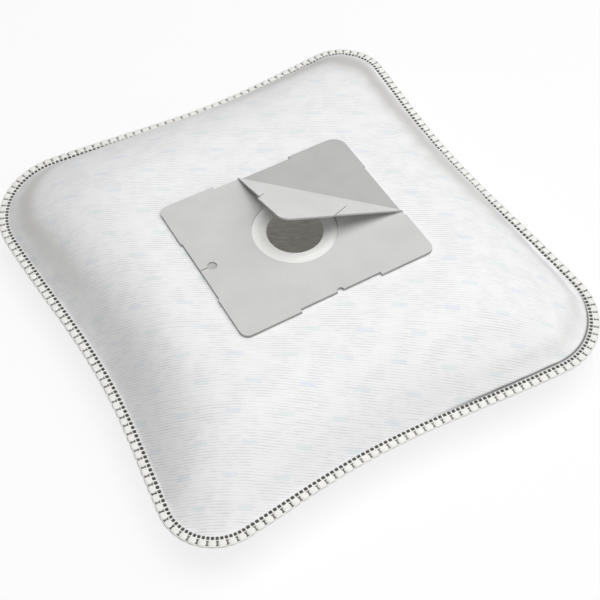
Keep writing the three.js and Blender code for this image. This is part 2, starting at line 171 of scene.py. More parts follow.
@dataclass
class SurfaceMesh:
    """Points and faces of one closed surface, gathered before they become a mesh."""

    points: list[ndarray] = field(default_factory=list)
    uvs: list[ndarray] = field(default_factory=list)
    layers: dict[str, list[ndarray]] = field(default_factory=dict)
    faces: list[ndarray] = field(default_factory=list)
    slots: list[int] = field(default_factory=list)
    count: int = 0

    def add_points(self, points: ndarray, uvs: ndarray | None = None,
                   **layers: ndarray) -> ndarray:
        """Adds a grid of points.

        Args:
            points: rows by columns by three.
            uvs: rows by columns by two, in metres of cloth.
            layers: a number for each point, by attribute name.

        Returns:
            The number of each point, rows by columns.
        """
        rows, columns = points.shape[:2]
        numbers = self.count + np.arange(rows * columns).reshape(rows, columns)
        self.count += rows * columns
        self.points.append(points.reshape(-1, 3))
        if uvs is not None:
            self.uvs.append(uvs.reshape(-1, 2))
        for name, values in layers.items():
            self.layers.setdefault(name, []).append(np.broadcast_to(values, (rows, columns)).ravel())
        return numbers

    def add_faces(self, faces: ndarray, slot: int = 0) -> None:
        """Adds faces of one size, given as point numbers, with one material slot."""
        self.faces.append(faces)
        self.slots.append(slot)

    def add_rings(self, numbers: ndarray, slot: int = 0, closed: bool = False) -> None:
        """Adds the quads between rings of equal counts, and from the last to the first if closed."""
        following = np.roll(numbers, -1, axis=0) if closed else numbers[1:]
        here = numbers if closed else numbers[:-1]
        quads = np.stack([here, np.roll(here, -1, axis=1), np.roll(following, -1, axis=1), following],
                         axis=-1)
        self.add_faces(quads.reshape(-1, 4), slot)

    def to_object(self, name: str, materials: list[Material],
                  mirrored: bool = False) -> Object:
        """Makes the object.

        Args:
            name: the object's name.
            materials: its material slots in order.
            mirrored: whether the points were mirrored, so that the faces turn round.

        Returns:
            The object, smooth shaded and linked to the scene.
        """
        groups = [faces[:, ::-1] if mirrored else faces for faces in self.faces]
        corners = np.concatenate([faces.ravel() for faces in groups]).astype(np.int32)
        sizes = np.concatenate([np.full(len(faces), faces.shape[1]) for faces in groups])
        slots = np.concatenate([np.full(len(faces), slot) for faces, slot in zip(groups, self.slots)])
        starts = np.concatenate([[0], np.cumsum(sizes)[:-1]])
        mesh = bpy.data.meshes.new(name)
        mesh.vertices.add(self.count)
        mesh.vertices.foreach_set("co", np.concatenate(self.points).astype(np.float32).ravel())
        mesh.loops.add(len(corners))
        mesh.loops.foreach_set("vertex_index", corners)
        mesh.polygons.add(len(sizes))
        mesh.polygons.foreach_set("loop_start", starts.astype(np.int32))
        mesh.polygons.foreach_set("material_index", slots.astype(np.int32))
        mesh.polygons.foreach_set("use_smooth", np.ones(len(sizes), bool))
        if self.uvs:
            layer = mesh.uv_layers.new(name=CLOTH_UV)
            layer.data.foreach_set("uv", np.concatenate(self.uvs)[corners].astype(np.float32).ravel())
        for layer_name, values in self.layers.items():
            attribute = mesh.attributes.new(layer_name, "FLOAT", "POINT")
            attribute.data.foreach_set("value", np.concatenate(values).astype(np.float32))
        for material in materials:
            mesh.materials.append(material)
        mesh.update(calc_edges=True)
        mesh.validate()
        return link_object(name, mesh)


# Finishes

@dataclass(frozen=True)
class EmbossedFleece:
    """Spunbond polypropylene fleece, calendered with fine ribs and printed with pale dashes.

    White and matt, with ribs that show where the light grazes them and painted shade in their
    grooves. Painted shade also darkens the creases by the seam, and a painted shadow line the
    weld's inner side at one corner. The film that the weld melted through it is dark and a little
    glossy.
    """

    name: str = "embossed_fleece"
    cloth: str = "f5f5f5"
    cream: str = "efeeea"
    # Painted shade for the creases by the seam.
    shade: str = "c0beba"
    film: str = "2f2e27"
    # Painted shade for the rib grooves.
    rib_shade: str = "e0e0e3"
    inks: tuple[str, str] = ("dfe3f0", "dceae6")
    rib_pitch: float = 1.55 * MM
    rib_angle_deg: float = 31
    rib_straying: float = 1.4
    rib_depth: float = 0.15 * MM
    rib_break: tuple[float, float] = (7 * MM, 1.6 * MM)
    # Real threads lie closer, and real fibres are about 0.02 mm thick. Both are too fine to show
    # in the render, so they are drawn this coarse.
    thread_pitch: float = 0.95 * MM
    thread_straying: float = 2.5
    thread_height: float = 0.35
    fibre_size: float = 0.35 * MM
    fibre_height: float = 0.4
    cloud_size: float = 14 * MM
    dash_cell: tuple[float, float] = (30 * MM, 17 * MM)
    dash_size: tuple[float, float] = (9 * MM, 2.8 * MM)
    dash_shift: float = 0.36
    dash_strength: float = 0.45
    sheen: float = 0.15
    light_through: float = 0.04

    def material(self) -> Material:
        """Makes the fleece's material, in the cloth's own coordinates.

        Its colour is laid on in turn: ribs with painted shade in their grooves, print, painted shade
        in the creases, cream, and melted film, which also paints a shadow line by the weld.
        """
        material, tree = empty_material(self.name)
        cloth = add_node(tree, "UVMap", uv_map=CLOTH_UV)
        turned = add_node(tree, "Mapping", {
            "Vector": cloth, "Rotation": (0, 0, math.radians(self.rib_angle_deg))})
        wave = self.bands(tree, turned, "Y", self.rib_pitch, self.rib_straying)
        ribs = add_node(tree, "MapRange", {"Value": wave, "From Min": 0.0, "From Max": 0.6},
                        interpolation_type="SMOOTHSTEP")
        threads = self.bands(tree, turned, "X", self.thread_pitch, self.thread_straying)
        drawn = add_node(tree, "Mapping", {
            "Vector": turned, "Scale": (1 / self.rib_break[0], 1 / self.rib_break[1], 1)})
        streaks = add_node(tree, "TexNoise", {"Vector": drawn, "Scale": 1.0, "Detail": 2.0})
        fibres = add_node(tree, "TexNoise", {
            "Vector": cloth, "Scale": 1 / self.fibre_size, "Detail": 3.0, "Roughness": 0.6})
        clouds = add_node(tree, "TexNoise", {
            "Vector": cloth, "Scale": 1 / self.cloud_size, "Detail": 2.0})
        # Random fibre tone, and painted shade in the rib grooves.
        tone_and_groove_shade = self.tone_and_groove_shade(tree, ribs, streaks, clouds)
        ink, printed = self.dashes(tree, turned)
        # Painted shade comes in by the crease attribute, and a painted shadow line with the weld
        # marks.
        crease_shade, creamy, welded = (
            add_node(tree, "Attribute", attribute_name=name).outputs["Fac"]
            for name in (CREASE_SHADE_ATTRIBUTE, CREAM_ATTRIBUTE, WELD_AND_SHADOW_ATTRIBUTE))
        colour = linear(self.rib_shade)
        for share, tint in ((tone_and_groove_shade, linear(self.cloth)), (printed, ink),
                            (crease_shade, linear(self.shade)), (creamy, linear(self.cream)),
                            (welded, linear(self.film))):
            colour = add_node(tree, "Mix", {0: share, 6: colour, 7: tint},
                              data_type="RGBA").outputs[2]
        roughness = add_node(tree, "MapRange", {"Value": welded, "To Min": 0.88, "To Max": 0.4})
        height = tone_and_groove_shade
        for texture, part in ((threads, self.thread_height), (fibres, self.fibre_height)):
            height = add_node(tree, "Math", {0: texture, 1: part, 2: height},
                              operation="MULTIPLY_ADD")
        end_material(tree, (height, self.rib_depth, 0.4), {
            "Base Color": colour, "Roughness": roughness, "IOR": 1.49, "Sheen Weight": self.sheen,
            "Sheen Roughness": 0.6, "Specular IOR Level": 0.3}, (self.light_through, self.cloth))
        return material

    def bands(self, tree: NodeTree, place: Node, direction: str,
              pitch: float, straying: float) -> NodeSocket:
        """Adds parallel bands. One turn of their wave takes a tenth of pi at a scale of 1.

        Args:
            tree: the material's node tree.
            place: the node that gives the coordinates.
            direction: the axis across the bands.
            pitch: from one band to the next, in metres.
            straying: how far the bands stray from straight.

        Returns:
            The height of the wave, from 0 to 1.
        """
        return add_node(tree, "TexWave", {
            "Vector": place, "Scale": math.pi / 10 / pitch, "Distortion": straying,
            "Detail": 2.0, "Detail Scale": 0.35, "Detail Roughness": 0.6},
            bands_direction=direction).outputs["Fac"]

    def tone_and_groove_shade(self, tree: NodeTree, ribs: Node, streaks: Node,
                  clouds: Node) -> Node:
        """Adds the share of the cloth's full colour: less in the grooves, which take painted shade,
        and less where the fibre is thinner.

        It is 1 less the groove, times the streak's and the cloud's shares, less a little cloud.

        Args:
            tree: the material's node tree.
            ribs: 1 on a rib and 0 in the groove beside it.
            streaks: a noise drawn out along the ribs, which fills the grooves here and there.
            clouds: a soft noise for thicker and thinner fibre.

        Returns:
            The node that gives this share.
        """
        groove = add_node(tree, "Math", {0: 1.0, 1: ribs}, operation="SUBTRACT")
        kept = add_node(tree, "MapRange", {
            "Value": streaks, "From Min": 0.35, "From Max": 0.6, "To Min": 0.3, "To Max": 1.0},
            interpolation_type="SMOOTHSTEP")
        worn = add_node(tree, "MapRange", {
            "Value": clouds, "From Min": 0.38, "From Max": 0.6, "To Min": 0.45, "To Max": 1.1})
        cloud = add_node(tree, "MapRange", {
            "Value": clouds, "From Min": 0.35, "From Max": 0.65, "To Min": 0.0, "To Max": 0.08})
        deep = add_node(tree, "Math", {0: groove, 1: worn}, operation="MULTIPLY")
        dark = add_node(tree, "Math", {0: deep, 1: kept, 2: cloud}, operation="MULTIPLY_ADD")
        return add_node(tree, "Math", {0: 1.0, 1: dark}, operation="SUBTRACT", use_clamp=True)

    def dashes(self, tree: NodeTree, place: Node
               ) -> tuple[NodeSocket, Node]:
        """Adds the printed dashes, one to a cell, with each row shifted along.

        They are a brick wall whose joints are so wide that only a dash is left of each brick. The
        joints are equally wide both ways, so the rows are drawn out by the factor that gives the
        dash its height.

        Args:
            tree: the material's node tree.
            place: the node that gives the coordinates.

        Returns:
            The ink's colour and where it is.
        """
        joint = (self.dash_cell[0] - self.dash_size[0]) / 2
        draw_out = 2 * joint / (self.dash_cell[1] - self.dash_size[1])
        stretched = add_node(tree, "Mapping", {"Vector": place, "Scale": (1, draw_out, 1)})
        wall = add_node(tree, "TexBrick", {
            "Vector": stretched, "Color1": linear(self.inks[0]), "Color2": linear(self.inks[1]),
            "Mortar": linear(self.cloth), "Scale": 1.0, "Mortar Size": joint,
            "Mortar Smooth": 0.02, "Brick Width": self.dash_cell[0],
            "Row Height": self.dash_cell[1] * draw_out}, offset=self.dash_shift, squash=1.0)
        mask = add_node(tree, "MapRange", {
            "Value": wall.outputs["Fac"], "To Min": self.dash_strength, "To Max": 0.0})
        return wall.outputs["Color"], mask


@dataclass(frozen=True)
class InnerFleece:
    """Unprinted inner layer of the fleece, melt-blown and grey in the bag's own shade.

    Dull and streaky, as it shows through the inlet. It gives off a faint painted light of its own,
    which stands in for the light that seeps in.
    """

    name: str = "inner_fleece"
    light: str = "e3e2dd"
    dark: str = "a3a19a"
    streak: tuple[float, float] = (7 * MM, 1.2 * MM)
    streak_depth: float = 0.3 * MM
    angle_deg: float = 31
    light_through: float = 0.6
    # Painted light: the layer's own faint emission.
    painted_glow: float = 0.095

    def material(self) -> Material:
        """Makes the inner layer's material."""
        material, tree = empty_material(self.name)
        cloth = add_node(tree, "UVMap", uv_map=CLOTH_UV)
        turned = add_node(tree, "Mapping", {
            "Vector": cloth, "Rotation": (0, 0, math.radians(self.angle_deg))})
        drawn = add_node(tree, "Mapping", {
            "Vector": turned, "Scale": (1 / self.streak[0], 1 / self.streak[1], 1)})
        streaks = add_node(tree, "TexNoise", {
            "Vector": drawn, "Scale": 1.0, "Detail": 3.0, "Roughness": 0.65})
        share = add_node(tree, "MapRange", {"Value": streaks, "From Min": 0.35, "From Max": 0.65})
        colour = add_node(tree, "Mix", {0: share, 6: linear(self.dark), 7: linear(self.light)},
                          data_type="RGBA").outputs[2]
        # The emission is painted light, in place of the light that seeps into the bag.
        end_material(tree, (streaks, self.streak_depth, 0.7), {
            "Base Color": colour, "Roughness": 0.95, "IOR": 1.49, "Specular IOR Level": 0.2,
            "Emission Color": colour, "Emission Strength": self.painted_glow / (1 - self.light_through)},
            (self.light_through, self.light))
        return material


@dataclass(frozen=True)
class GreyBoard:
    """Recycled grey board, couched from waste paper pulp and die cut.

    Even and matt, with faint flecks of fibre and soft clouds. Its back is a shade paler, and its cut
    edges are rougher, because there the layers lie open. They are also darker, partly for the open
    layers and partly as painted shade on the boards' sides.
    """

    name: str
    face: str
    back: str
    fleck: str
    cut: str
    cloud_size: float = 16 * MM
    # Real pulp fibres are about 0.03 mm thick, too fine to show in the render. They and the
    # layers of pulp are drawn this coarse.
    fibre_size: float = 1.1 * MM
    fibre_depth: float = 0.04 * MM
    layer_pitch: float = 0.22 * MM
    tear_depth: float = 0.08 * MM

    def face_material(self, shade: str, suffix: str) -> Material:
        """Makes the material of one of the board's two faces.

        Args:
            shade: the face's colour.
            suffix: what the board's name gets for this face.

        Returns:
            The material.
        """
        material, tree = empty_material(self.name + suffix)
        place = add_node(tree, "TexCoord").outputs["Object"]
        clouds = add_node(tree, "TexNoise", {
            "Vector": place, "Scale": 1 / self.cloud_size, "Detail": 3.0})
        fibres = add_node(tree, "TexNoise", {
            "Vector": place, "Scale": 1 / self.fibre_size, "Detail": 4.0, "Roughness": 0.7})
        flecks = add_node(tree, "MapRange", {
            "Value": fibres, "From Min": 0.62, "From Max": 0.74, "To Max": 0.55})
        tone = add_node(tree, "MapRange", {
            "Value": clouds, "From Min": 0.35, "From Max": 0.65, "To Min": 0.97, "To Max": 1.015})
        flecked = add_node(tree, "Mix", {0: flecks, 6: linear(shade), 7: linear(self.fleck)},
                           data_type="RGBA").outputs[2]
        colour = add_node(tree, "HueSaturation", {"Value": tone, "Color": flecked})
        end_material(tree, (fibres, self.fibre_depth, 0.5), {
            "Base Color": colour, "Roughness": 0.74, "IOR": 1.5, "Specular IOR Level": 0.35})
        return material

    def cut_material(self) -> Material:
        """Makes the material of the board's cut edges: thin layers of pulp, a little torn."""
        material, tree = empty_material(self.name + "_cut_edge")
        place = add_node(tree, "TexCoord").outputs["Object"]
        flat = add_node(tree, "Mapping", {"Vector": place, "Scale": (
            1 / self.fibre_size, 1 / self.fibre_size, 1 / self.layer_pitch)})
        layers = add_node(tree, "TexNoise", {
            "Vector": flat, "Scale": 1.0, "Detail": 3.0, "Roughness": 0.6})
        share = add_node(tree, "MapRange", {"Value": layers, "From Min": 0.3, "From Max": 0.7})
        colour = add_node(tree, "Mix", {0: share, 6: linear(self.fleck), 7: linear(self.cut)},
                          data_type="RGBA").outputs[2]
        end_material(tree, (layers, self.tear_depth, 0.7), {
            "Base Color": colour, "Roughness": 0.92, "IOR": 1.5, "Specular IOR Level": 0.2})
        return material


@dataclass(frozen=True)
class SealSheet:
    """Thermoplastic elastomer sheet, calendered and punched.

    Off-white and smooth, with a dull satin light on it.
    """

    name: str = "elastomer_sheet"
    colour: str = "e9e9e6"
    grain_size: float = 0.6 * MM
    grain_depth: float = 0.02 * MM

    def material(self) -> Material:
        """Makes the sheet's material."""
        material, tree = empty_material(self.name)
        place = add_node(tree, "TexCoord").outputs["Object"]
        grain = add_node(tree, "TexNoise", {
            "Vector": place, "Scale": 1 / self.grain_size, "Detail": 2.0})
        tone = add_node(tree, "MapRange", {"Value": grain, "To Min": 0.97, "To Max": 1.02})
        colour = add_node(tree, "HueSaturation", {"Value": tone, "Color": linear(self.colour)})
        end_material(tree, (grain, self.grain_depth, 0.4), {
            "Base Color": colour, "Roughness": 0.5, "IOR": 1.48})
        return material


# Bag

class Side(Enum):
    """Which fleece panel: the one above the weld or the one below it."""

    UPPER = 1
    LOWER = -1


@dataclass(frozen=True)
class BagEdge:
    """The welded outer edge of the bag, seen from above.

    Its corner radii run from the right far corner round to the right near one.
    """

    half_x: float = 146 * MM
    half_y: float = 153.5 * MM
    corner_radii: tuple[float, ...] = (36 * MM, 55 * MM, 38 * MM, 49 * MM)
    draw_right: float = 7 * MM
    draw_far: float = 8.6 * MM
    draw_left: float = 8.8 * MM
    draw_near: float = 8.4 * MM
    draw_skew: float = 0.55
    steps: int = 400

    def loop(self) -> ndarray:
        """Works out the edge, counterclockwise from the start of the right far corner.

        Corners are quarter circles and sides straight runs. Then a point moves inwards by the draw
        of its side, times its share of the half width, times the squared cosine of a quarter turn
        times its share of the half length, both ways. The skew draws the half towards the right far
        or the left near corner in more. Last, the loop is centred on its own box.

        Returns:
            Its points, as rows of X and Y.
        """
        half = np.array([self.half_x, self.half_y])
        signs = np.array([(1, 1), (-1, 1), (-1, -1), (1, -1)], float)
        radii = np.array(self.corner_radii)[:, None]
        turns = np.arange(4)[:, None] * np.pi / 2 + np.linspace(0, np.pi / 2, self.steps + 1)
        circle = np.stack([np.cos(turns), np.sin(turns)], axis=-1)
        arcs = (signs * (half - radii))[:, None] + radii[..., None] * circle
        share = np.linspace(0, 1, self.steps + 1)[1:-1, None]
        sides = arcs[:, -1:] * (1 - share) + np.roll(arcs[:, :1], -1, axis=0) * share
        plain = np.concatenate([arcs, sides], axis=1).reshape(-1, 2)
        draws = np.where(plain > 0, (self.draw_right, self.draw_far), (self.draw_left, self.draw_near))
        turn = np.pi / 2 * (plain / half)[:, ::-1]
        nearness = np.cos(turn) ** 2 * (1 + self.draw_skew * np.sign(plain) * np.sin(turn))
        drawn = plain - draws * nearness * plain / half
        return drawn - (drawn.min(0) + drawn.max(0)) / 2

    def lengths(self) -> tuple[ndarray, ndarray]:
        """Gives the closed loop and how far round it each of its points is."""
        loop = self.loop()
        closed = np.vstack([loop, loop[:1]])
        steps = np.linalg.norm(np.diff(closed, axis=0), axis=1)
        return closed, np.concatenate([[0], np.cumsum(steps)])

    def perimeter(self) -> float:
        """Gives the length of the whole edge."""
        return float(self.lengths()[1][-1])

    def sample(self, shares: ndarray) -> tuple[ndarray, ndarray]:
        """Finds places on the edge.

        Args:
            shares: how far round each place is, as a share of the perimeter.

        Returns:
            The points, and the unit directions square to the edge that point inwards.
        """
        closed, lengths = self.lengths()

        def at(distance: ndarray) -> ndarray:
            """Gives the points a distance round the edge."""
            wrapped = distance % lengths[-1]
            return np.stack([np.interp(wrapped, lengths, closed[:, axis]) for axis in (0, 1)], -1)

        distance = shares * lengths[-1]
        along = at(distance + MM) - at(distance - MM)
        along /= np.linalg.norm(along, axis=1, keepdims=True)
        return at(distance), np.stack([-along[:, 1], along[:, 0]], axis=-1)


@dataclass(frozen=True)
class WeldPattern:
    """The marks that the welding wheel presses into the flange, and the fleece left between them.

    The phases are the columns of points from bar to bar, and the insets their rows from the edge.
    The line is a thin dark painted shadow of the gap where the swollen cloth meets the inner side
    of the weld, round one bearing.
    """

    pitch: float = 5.75 * MM
    stem_width: float = 0.9 * MM
    serif_width: float = 1.6 * MM
    bar_start: float = 0.75 * MM
    bar_end: float = 3.7 * MM
    serif_height: float = 0.6 * MM
    dot_width: float = 2.1 * MM
    dot_start: float = 4.25 * MM
    dot_end: float = 6.15 * MM
    dot_round: float = 0.4 * MM
    dot_cut: float = 0.3 * MM
    film: float = 0.25 * MM
    sheet: float = 0.7 * MM
    pillow: float = 0.5 * MM
    pillow_edge: float = 0.24
    pillow_overrun: float = 0.2 * MM
    ridge: float = 0.3 * MM
    ridge_half: float = 0.4 * MM
    rim_round: float = 0.9 * MM
    rim_face: float = 0.35
    scallop: float = 0.2 * MM
    scallop_reach: float = 1.2 * MM
    cream_end: tuple[float, float] = (4.6 * MM, 6.8 * MM)
    fainter: float = 0.2
    fainter_left: float = 0.4
    uneven: float = 0.15
    uneven_seed: int = 5
    # A painted shadow line, in the weld film's colour, by the weld's inner side.
    line_bearing_deg: float = -35
    line_strength: float = 1.0
    line_inset: float = 6.3 * MM
    line_bow: float = 1.0 * MM
    line_width: float = 0.7 * MM
    line_start: tuple[float, float] = (0.78, 0.93)
    bow_start: tuple[float, float] = (0.8, 0.98)
    phases: tuple[float, ...] = (-0.195, -0.165, -0.125, -0.092, -0.065, 0.065, 0.092, 0.125,
                                 0.165, 0.195, 0.25, 0.305, 0.335, 0.375, 0.625, 0.665, 0.695, 0.75)
    body_phases: tuple[float, ...] = (0.25, 0.75)
    insets_mm: tuple[float, ...] = (0, 0.25, 0.65, 0.85, 1.25, 1.45, 3.0, 3.2, 3.6, 3.8, 4.15, 4.35,
                                    4.7, 5.7, 6.05, 6.25, 6.5)

    def pressed(self, phase: ndarray, inset: ndarray) -> ndarray:
        """Tells where the fleece is melted through: 1 in a dot or a bar with serifs, else 0.

        Args:
            phase: distance along the edge from a bar, as a share of the pitch.
            inset: distance from the edge.

        Returns:
            The pressed share of each place.
        """
        from_bar = np.abs(phase - np.round(phase)) * self.pitch
        from_dot = np.abs(2 * phase - np.round(2 * phase)) * self.pitch / 2
        in_bar = (inset > self.bar_start) & (inset < self.bar_end)
        in_serif = in_bar & ((inset < self.bar_start + self.serif_height)
                             | (inset > self.bar_end - self.serif_height))
        from_ends = np.minimum(inset - self.dot_start, self.dot_end - inset)
        dot_half = self.dot_width / 2 - self.dot_cut * (from_ends < self.dot_round)
        mark = (in_bar & (from_bar < self.stem_width / 2)) \
            | (in_serif & (from_bar < self.serif_width / 2)) \
            | ((from_ends > 0) & (from_dot < dot_half))
        return mark.astype(float)

    def between_bars(self, phase: ndarray) -> ndarray:
        """Gives how far a place is from the bars: 0 at one and 1 half way between two."""
        from_bar = np.abs(phase - np.round(phase)) * self.pitch
        start = self.stem_width / 2
        return smooth(from_bar, start, start + self.pillow_edge * self.pitch)

    def height(self, phase: ndarray, inset: ndarray) -> ndarray:
        """Works out how high the flange's surface stands over the plane of the weld.

        The sheet's height, rounded off at the rim, with a pillow between each two bars, a low ridge
        between bars and dots, and the thin film in the marks.

        Args:
            phase: distance along the edge from a bar, as a share of the pitch.
            inset: distance from the edge.

        Returns:
            The height at each place.
        """
        rim = np.sqrt(1 - (1 - np.clip(inset / self.rim_round, 0, 1)) ** 2)
        along = np.clip(inset / (self.bar_end + self.pillow_overrun), 0, 1)
        pillows = self.pillow * self.between_bars(phase) * np.sqrt(np.sin(np.pi * along))
        ridge_at = (self.bar_end + self.dot_start) / 2
        ridge = self.ridge * np.exp(-((inset - ridge_at) / self.ridge_half) ** 2)
        plain = self.sheet * (self.rim_face + (1 - self.rim_face) * rim) + pillows + ridge
        pressed = self.pressed(phase, inset)
        return plain * (1 - pressed) + self.film * pressed


@dataclass(frozen=True)
class FleecePanel:
    """One of the two fleece panels: its half of the welded flange and its swollen body.

    Values by side run right, far, left and near, and values by corner from the right far one on,
    counterclockwise. A sector is the cosine or sine of the bearing where something starts and
    where it is full. At each crease shade bearing, in degrees, stand how dark the painted shade in
    the crease by the seam is and how far from the seam it lies.
    """

    side: Side
    edge: BagEdge
    weld: WeldPattern
    flat_centre: ndarray
    flat_half: tuple[float, float]
    flat_squareness: float
    rise: float
    seam_z: float
    hole_radius: float = 0.0
    least_radius: float = 0.5 * MM
    seam_inset: float = 6.5 * MM
    wall: float = 1.2 * MM
    clearance: float = 0.04 * MM
    side_powers: tuple[float, ...] = (2.2, 2.6, 2.3, 2.1)
    side_fullness: tuple[float, ...] = (0.75, 0.82, 1.3, 1.05)
    corner_fullness: tuple[float, ...] = (0.85, 1.0, 1.25, 1.25)
    corner_sharpness: float = 3
    apron: float = 0.0
    apron_sector: tuple[float, float] = (0.66, 0.86)
    apron_waviness: float = 0.22
    apron_waves: range = range(30, 75)
    apron_seed: int = 3
    apron_end: tuple[float, float] = (0.85, 1.35)
    apron_puff: float = 3 * MM
    puff_width: float = 0.95
    puff_roundness: float = 0.8
    # Painted shade along the creases by the seam, by bearing.
    crease_shade_bearings: tuple[float, ...] = (-161, -142, -65, -40, -15, 20, 45, 62, 85, 110, 122, 138,
                                          150, 171)
    crease_shade_strengths: tuple[float, ...] = (0.1, 0, 0.12, 0.3, 0.55, 0.7, 0.85, 0.6, 0.15, 0.1, 0.4, 0.65,
                                        0.5, 0.2)
    crease_shade_insets_mm: tuple[float, ...] = (14, 12, 10, 9, 16, 19, 26, 18, 10, 8, 9, 13, 15, 14)
    crease_shade_spread: float = 0.55
    overhang: float = 0.0
    overhang_reach: float = 4 * MM
    overhang_sector: tuple[float, float] = (0.8, 0.97)
    gather: float = 0.9 * MM
    gather_reach: float = 9 * MM
    gather_start: float = 2 * MM
    gather_waves: range = range(24, 110)
    gather_seed: int = 7
    swelling: float = 1.1 * MM
    swell_lengths: tuple[float, float, int] = (70 * MM, 130 * MM, 4)
    swell_reach: float = 30 * MM
    swell_seed: int = 11
    rim_lift: float = 0.03
    mark_strength: float = 1.0
    body_rings: int = 42
    ring_crowding: float = 1.5
    fine_rings: int = 3
    inner_rings: int = 17
    inner_crowding: float = 1.9
    flat_rings: int = 3

    def bars(self) -> int:
        """Gives how many bars of the weld go round the edge."""
        return round(self.edge.perimeter() / self.weld.pitch)

    def shares(self) -> ndarray:
        """Gives the columns round the edge: the weld pattern's lines, repeated for each bar."""
        bars = self.bars()
        return ((np.arange(bars)[:, None] + np.array(self.weld.phases)) / bars).ravel()

    def picks(self) -> ndarray:
        """Gives the numbers of the columns that run on into the body."""
        in_pitch = [phase in self.weld.body_phases for phase in self.weld.phases]
        return np.flatnonzero(np.tile(in_pitch, self.bars()))

    def oval(self, rays: ndarray, half: tuple[float, float], squareness: float) -> ndarray:
        """Finds a squarish oval's points in given directions.

        The sum of each coordinate's share of its half size, to the power of the squareness, is 1.

        Args:
            rays: unit directions from the oval's centre.
            half: its half sizes.
            squareness: the power, 2 for an ellipse.

        Returns:
            The points, around the origin.
        """
        reach = (np.abs(rays / np.array(half)) ** squareness).sum(axis=1, keepdims=True)
        return rays * reach ** (-1 / squareness)

    def fall(self, inset: float, shares: ndarray, top: float, bottom: float,
             steps: ndarray, puff: float = 0.0) -> tuple[ndarray, ndarray, ndarray]:
        """Works out the swollen fall from the flat part to the seam.

        In plan, a point is a share of the way from the rim of the flat part to the seam. Its height
        falls as the remainder of 1 after that share to the side's power, to the power of the
        fullness, which is each side's and each corner's own. On the right side an uneven apron
        swells by the seam as a low roll, and the body rises behind the crease that ends it. Small
        gathers ripple the cloth. On the far side the filled cloth leans out over the weld: its plan
        moves outwards by the overhang, times the distance from the seam over the overhang's reach,
        times e to the power of 1 less that ratio.

        Args:
            inset: how far the seam lies inside the edge.
            shares: the columns round the edge.
            top: height of the flat part over the plane of the weld.
            bottom: height of the seam over that plane.
            steps: the shares of the way, from 0 at the flat part to 1 at the seam.
            puff: height of the apron's roll, none for the lining.

        Returns:
            The points, steps by columns, with height over the weld plane as Z, the plan rays, and
            how strong the painted shade of the crease by the seam is at each point.
        """
        points, inward = self.edge.sample(shares)
        rays = points - self.flat_centre
        rays = rays / np.linalg.norm(rays, axis=1, keepdims=True)
        start = self.flat_centre + self.oval(rays, self.flat_half, self.flat_squareness)
        finish = points + inward * inset
        share = steps[:, None]
        plan = start + (finish - start) * share[..., None]
        bearing = np.arctan2(points[:, 1] / self.edge.half_y, points[:, 0] / self.edge.half_x)
        cornerness = np.abs(np.sin(2 * bearing)) ** self.corner_sharpness
        by_side = self.by_side(bearing, self.side_fullness)
        corner = (np.floor(2 * bearing / np.pi).astype(int) + 4) % 4
        fullness = by_side + (np.array(self.corner_fullness)[corner] - by_side) * cornerness
        height = (1 - share ** self.by_side(bearing, self.side_powers)) ** fullness
        from_seam = (1 - share) * np.linalg.norm(finish - start, axis=1)
        aproned = smooth(np.cos(bearing), *self.apron_sector)
        wavy = 1 + self.apron_waviness * ripple(shares, self.apron_waves, self.apron_seed)
        apron = np.maximum(self.apron * aproned * wavy, TINY)
        height = height * smooth(from_seam / apron, *self.apron_end)
        over = np.clip(from_seam / (self.puff_width * apron), 0, 1)
        roll = puff * aproned * np.sin(np.pi * over) ** self.puff_roundness
        ratio = from_seam / self.overhang_reach
        leaning = self.overhang * smooth(np.sin(bearing), *self.overhang_sector)
        plan = plan - inward * (leaning * ratio * np.exp(1 - ratio))[..., None]
        near_seam = np.exp(-from_seam / self.gather_reach) \
            * (1 - np.exp(-from_seam / self.gather_start))
        gathers = self.gather * near_seam \
            * ripple(shares, self.gather_waves, self.gather_seed)
        swells = self.swelling * self.swell(plan) * smooth(share, 0, 1 / 3) \
            * smooth(from_seam, 0, self.swell_reach)
        uneven = (gathers + swells) * smooth(height, 0, self.rim_lift)
        lift = bottom + (top - bottom) * height + roll + uneven
        # Painted shade: a darker colour, strongest at each bearing's inset from the seam, for the
        # shade in the creases there.
        turn = np.degrees(bearing)
        depth = np.interp(turn, self.crease_shade_bearings, self.crease_shade_strengths, period=360)
        middle = np.interp(turn, self.crease_shade_bearings, self.crease_shade_insets_mm, period=360) * MM \
            * (1 + (wavy - 1) / 2 * aproned)
        crease = depth * np.exp(-((from_seam / middle - 1) / self.crease_shade_spread) ** 2)
        return np.concatenate([plan, lift[..., None]], axis=-1), rays, crease

    def by_side(self, bearing: ndarray, values: tuple[float, ...]) -> ndarray:
        """Blends a value of each side, right, far, left and near, by the bearing's squared cosine."""
        right, far, left, near = values
        along_x = np.where(np.cos(bearing) > 0, right, left)
        along_y = np.where(np.sin(bearing) > 0, far, near)
        return along_y + (along_x - along_y) * np.cos(bearing) ** 2

    def swell(self, plan: ndarray) -> ndarray:
        """Gives a slow unevenness over the plan: the mean of crossed waves of several lengths."""
        draw = np.random.default_rng(self.swell_seed)
        total = np.zeros(plan.shape[:-1])
        for length in np.linspace(*self.swell_lengths):
            turn = draw.uniform(0, np.pi)
            along = plan @ np.array([math.cos(turn), math.sin(turn)])
            total += np.cos(2 * np.pi * along / length + draw.uniform(0, 2 * np.pi))
        return total / self.swell_lengths[2]

    def cloth_uv(self, grid: ndarray, rays: ndarray) -> ndarray:
        """Lays the cloth out flat: each column keeps its ray, and its true length along the cloth.

        Args:
            grid: points from the flat part outwards, steps by columns.
            rays: each column's direction in plan.

        Returns:
            The place of each point on the flat cloth.
        """
        first = np.linalg.norm(grid[0, :, :2] - self.flat_centre, axis=1)
        steps = np.linalg.norm(np.diff(grid, axis=0), axis=2)
        lengths = first + np.concatenate([np.zeros((1, len(first))), np.cumsum(steps, axis=0)])
        return self.flat_centre + rays * lengths[..., None]

